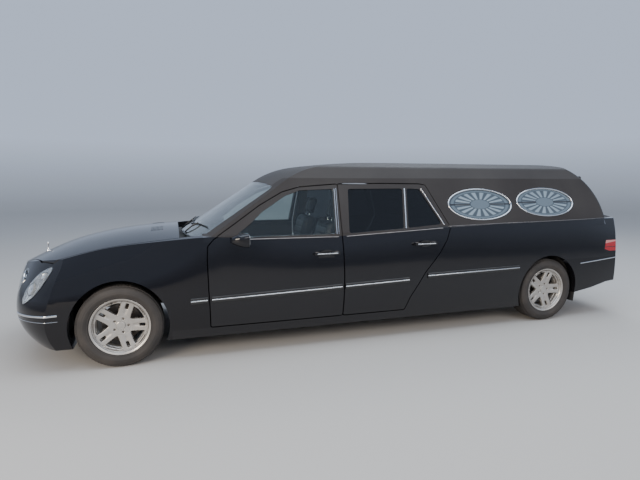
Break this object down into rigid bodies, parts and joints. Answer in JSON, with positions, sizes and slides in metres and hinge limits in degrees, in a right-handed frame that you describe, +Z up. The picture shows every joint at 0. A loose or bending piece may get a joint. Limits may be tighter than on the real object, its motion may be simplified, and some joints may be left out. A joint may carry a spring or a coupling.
{
  "type": "hearse",
  "caption": "Long black hearse on an executive saloon base, with side doors, a raised matt vinyl roof, oval side windows and a top-hinged tail door.",
  "frame": {"origin": "middle of the car's footprint on the ground", "axes": "+X towards the tail, +Y to the car's right side, +Z up"},
  "size_m": [6.0436, 2.052, 1.6399],
  "materials": {
    "black_paint": "gloss",
    "dark_glass": "gloss",
    "clear_glass": "gloss",
    "patterned_glass": "gloss",
    "lamp_lens": "gloss",
    "red_lens": "gloss",
    "chrome": "polished",
    "alloy": "satin",
    "tyre": "matt",
    "steel": "satin",
    "cast_iron": "rough",
    "dark_plastic": "matt",
    "leather": "satin",
    "deck_metal": "brushed"
  },
  "bodies": {
    "root": {"floor_pan": "steel", "body_side_left": "black_paint", "body_side_right": "black_paint", "roof": "black_paint", "fender_left": "black_paint", "fender_right": "black_paint", "bumper_front": "black_paint", "bumper_rear": "black_paint", "windshield": "clear_glass", "headlamps": "lamp_lens", "tail_lamps": "red_lens", "oval_windows": "patterned_glass", "firewall": "dark_plastic", "front_liners": "dark_plastic", "front_subframe": "steel", "engine_block": "cast_iron", "driveline": "steel", "rear_axle": "steel", "exhaust": "steel", "dashboard": "dark_plastic", "front_seats": "leather", "rear_seat": "leather", "casket_deck": "deck_metal"},
    "hood_body": {"hood": "black_paint", "grille": "chrome"},
    "tailgate_body": {"tailgate": "black_paint", "glass_tailgate": "dark_glass"},
    "steering": {"steering_wheel": "leather"},
    "door_front_left_body": {"door_front_left": "black_paint", "glass_front_left": "clear_glass"},
    "door_rear_left_body": {"door_rear_left": "black_paint", "glass_rear_left": "dark_glass"},
    "knuckle_left_body": {"knuckle_left": "cast_iron"},
    "door_front_right_body": {"door_front_right": "black_paint", "glass_front_right": "clear_glass"},
    "door_rear_right_body": {"door_rear_right": "black_paint", "glass_rear_right": "dark_glass"},
    "knuckle_right_body": {"knuckle_right": "cast_iron"},
    "wheel_front_left": {"rim_front_left": "alloy", "tyre_front_left": "tyre"},
    "wheel_front_right": {"rim_front_right": "alloy", "tyre_front_right": "tyre"},
    "wheel_rear_left": {"rim_rear_left": "alloy", "tyre_rear_left": "tyre"},
    "wheel_rear_right": {"rim_rear_right": "alloy", "tyre_rear_right": "tyre"}
  },
  "joints": [
    {"name": "door_front_left_hinge", "type": "hinge", "parent": "root", "child": "door_front_left_body", "pos_m": [-1.435, -0.88, 0.595], "axis": [0, 0, -1], "range_deg": [0, 65]},
    {"name": "door_rear_left_hinge", "type": "hinge", "parent": "root", "child": "door_rear_left_body", "pos_m": [-0.274, -0.88, 0.595], "axis": [0, 0, -1], "range_deg": [0, 65]},
    {"name": "steer_left", "type": "hinge", "parent": "root", "child": "knuckle_left_body", "pos_m": [-2.168, -0.69, 0.322], "axis": [0, 0, 1], "range_deg": [-35, 35]},
    {"name": "door_front_right_hinge", "type": "hinge", "parent": "root", "child": "door_front_right_body", "pos_m": [-1.435, 0.88, 0.595], "axis": [0, 0, 1], "range_deg": [0, 65]},
    {"name": "door_rear_right_hinge", "type": "hinge", "parent": "root", "child": "door_rear_right_body", "pos_m": [-0.274, 0.88, 0.595], "axis": [0, 0, 1], "range_deg": [0, 65]},
    {"name": "steer_right", "type": "hinge", "parent": "root", "child": "knuckle_right_body", "pos_m": [-2.168, 0.69, 0.322], "axis": [0, 0, 1], "range_deg": [-35, 35]},
    {"name": "spin_front_left", "type": "hinge", "parent": "knuckle_left_body", "child": "wheel_front_left", "pos_m": [-2.168, -0.7795, 0.322], "axis": [0, 1, 0], "continuous": true},
    {"name": "spin_front_right", "type": "hinge", "parent": "knuckle_right_body", "child": "wheel_front_right", "pos_m": [-2.168, 0.7795, 0.322], "axis": [0, 1, 0], "continuous": true},
    {"name": "spin_rear_left", "type": "hinge", "parent": "root", "child": "wheel_rear_left", "pos_m": [1.922, -0.776, 0.322], "axis": [0, 1, 0], "continuous": true},
    {"name": "spin_rear_right", "type": "hinge", "parent": "root", "child": "wheel_rear_right", "pos_m": [1.922, 0.776, 0.322], "axis": [0, 1, 0], "continuous": true},
    {"name": "hood_hinge", "type": "hinge", "parent": "root", "child": "hood_body", "pos_m": [-1.728, 0, 0.968], "axis": [0, 1, 0], "range_deg": [0, 50]},
    {"name": "tailgate_hinge", "type": "hinge", "parent": "root", "child": "tailgate_body", "pos_m": [2.577, 0, 1.478], "axis": [0, -1, 0], "range_deg": [0, 80]},
    {"name": "steering_turn", "type": "hinge", "parent": "root", "child": "steering", "pos_m": [-1.078, 0.385, 0.86], "axis": [0.9135, 0, 0.4067], "range_deg": [-530, 530]}
  ],
  "couplings": [
    {"joint": "steer_right", "follows": "steer_left", "ratio": 1},
    {"joint": "steering_turn", "follows": "steer_left", "ratio": 15}
  ]
}
